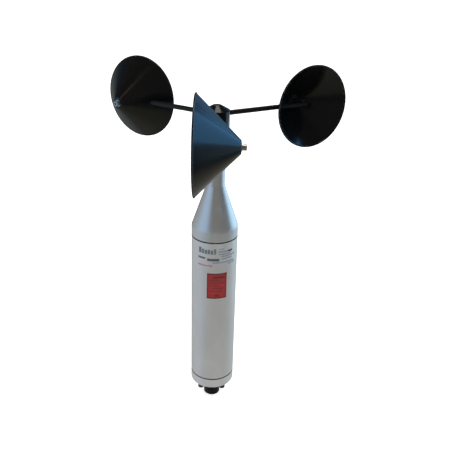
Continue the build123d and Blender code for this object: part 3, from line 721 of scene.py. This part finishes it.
def hang_lights(studio):
    """One overhead light, a blue window and a narrow lamp for the lacquer."""
    cups = [f"cup_{number}" for number in range(1, CUP_COUNT + 1)]
    overhead_size = (OVERHEAD_SIDE, OVERHEAD_SIDE)
    area_light("overhead", OVERHEAD_PLACE, OVERHEAD_TARGET, overhead_size, studio.key, OVERHEAD_COLOUR)
    front_cup = (0, -CUP_REACH, CUP_Z)
    # each pane: middle, width and share of the full brightness, fading towards the back
    panes = [
        ((1.50, 0.02, 0.82), 1.70, 1.00),
        ((1.45, 1.10, 0.80), 0.55, 0.62),
        ((1.30, 1.52, 0.74), 0.50, 0.30),
        ((1.08, 1.82, 0.68), 0.50, 0.14),
        ((0.80, 2.02, 0.62), 0.50, 0.05),
    ]
    for number, (middle, width, share) in enumerate(panes, start=1):
        power = studio.window * width * share
        pane = (width, WINDOW_HEIGHT)
        area_light(f"window_{number}", middle, front_cup, pane, power, WINDOW_COLOUR, cups)
    lamp_size = (LAMP_SIDE, LAMP_SIDE)
    area_light("lamp", LAMP_PLACE, LAMP_TARGET, lamp_size, studio.lamp, LAMP_COLOUR, cups)


def light_surround(studio):
    """White all round for the floor; soft blue, grey and dark fields for what the metal reflects."""
    world = bpy.data.worlds.new("studio_surround")
    world.use_nodes = True
    bpy.context.scene.world = world
    g = Graph(world.node_tree)
    direction = g.node("ShaderNodeTexCoord", output="Generated")
    z = g.split(direction)[2]
    # each field: direction, cosine where it starts, cosine where it is full, colour
    fields = [
        ((0.0, -0.95, 0.3), 0.45, 0.9, (0.14, 0.13, 0.115)),
        ((-0.2, 0.85, -0.45), 0.55, 0.9, (0.13, 0.15, 0.15)),
        ((0.45, 0.72, -0.52), 0.72, 0.94, (0.42, 0.40, 0.34)),
        ((-0.85, 0.25, -0.42), 0.72, 0.95, (0.46, 0.46, 0.46)),
        ((0.45, 0.88, 0.12), 0.75, 0.95, (0.10, 0.18, 0.30)),
        ((-0.88, -0.45, 0.10), 0.74, 0.95, (0.47, 0.68, 0.95)),
    ]
    tone = g.mix(z.smooth(-0.4, -0.65), (0.045, 0.07, 0.10), (0.32, 0.31, 0.24))
    tone = g.mix(z.smooth(0.3, 0.8), tone, (0.10, 0.09, 0.075))
    for centre, start, full, colour in fields:
        near = g.dot(direction, Vector(centre).normalized()).smooth(start, full)
        tone = g.mix(near, tone, colour)
    strip = g.dot(direction, Vector((0.84, 0.53, -0.12)).normalized()).smooth(0.76, 0.95)
    strip = strip * z.smooth(0.14, 0.02) * z.smooth(-0.50, -0.27)
    tone = g.mix(strip, tone, (1.0, 1.6, 2.05))
    glossy = g.node("ShaderNodeLightPath", output="Is Glossy Ray")
    tone = g.mix(glossy, (1.0, 1.0, 1.0), tone)
    shader = g.node("ShaderNodeBackground", inputs={"Color": tone, "Strength": studio.dome})
    g.node("ShaderNodeOutputWorld", inputs={"Surface": shader})


def set_camera():
    """The camera, a little above the rotor and to the front."""
    camera = bpy.data.cameras.new("studio_camera")
    camera.sensor_width = CAMERA_SENSOR
    camera.lens = CAMERA_LENS
    camera.clip_start = 0.01
    eye = bpy.data.objects.new("studio_camera", camera)
    eye.location = CAMERA_PLACE
    pitch, yaw, roll = (math.radians(turn) for turn in (CAMERA_PITCH, CAMERA_YAW, CAMERA_ROLL))
    reach = math.cos(pitch)
    forward = Vector((math.sin(yaw) * reach, math.cos(yaw) * reach, -math.sin(pitch)))
    level = Vector((math.cos(yaw), -math.sin(yaw), 0))
    upright = level.cross(forward)
    right = math.cos(roll) * level + math.sin(roll) * upright
    up = right.cross(forward)
    eye.rotation_euler = Matrix((right, up, -forward)).transposed().to_euler()
    bpy.context.scene.collection.objects.link(eye)
    bpy.context.scene.camera = eye


# ---------------------------------------------------------------- panel and registration
class ANEMOMETER_PT_panel(bpy.types.Panel):
    """Finishes, marks and stage of the anemometer"""

    bl_label = "Cup Anemometer"
    bl_space_type = "VIEW_3D"
    bl_region_type = "UI"
    bl_category = "Anemometer"

    def draw(self, context):
        layout = self.layout
        for group in (
            context.scene.anemometer_finishes,
            context.scene.anemometer_sizes,
            context.scene.anemometer_studio,
        ):
            column = layout.column(align=True)
            for name in group.__annotations__:
                column.prop(group, name)
        for operator in OPERATORS:
            layout.operator(operator.bl_idname)


OPERATORS = (
    ANEMOMETER_OT_housing,
    ANEMOMETER_OT_cups,
    ANEMOMETER_OT_rotor,
    ANEMOMETER_OT_fasteners,
    ANEMOMETER_OT_connector,
    ANEMOMETER_OT_electronics,
    ANEMOMETER_OT_label,
    ANEMOMETER_OT_marks,
    ANEMOMETER_OT_stage,
)
GROUPS = {
    "anemometer_finishes": AnemometerFinishes,
    "anemometer_sizes": AnemometerSizes,
    "anemometer_studio": AnemometerStudio,
}


def register():
    for cls in (*GROUPS.values(), *OPERATORS, ANEMOMETER_PT_panel):
        bpy.utils.register_class(cls)
    for name, group in GROUPS.items():
        setattr(bpy.types.Scene, name, PointerProperty(type=group))


def unregister():
    for name in GROUPS:
        delattr(bpy.types.Scene, name)
    for cls in reversed((*GROUPS.values(), *OPERATORS, ANEMOMETER_PT_panel)):
        bpy.utils.unregister_class(cls)


def main():
    register()
    for operator in OPERATORS:
        group, name = operator.bl_idname.split(".")
        getattr(getattr(bpy.ops, group), name)()


if __name__ == "__main__":
    main()
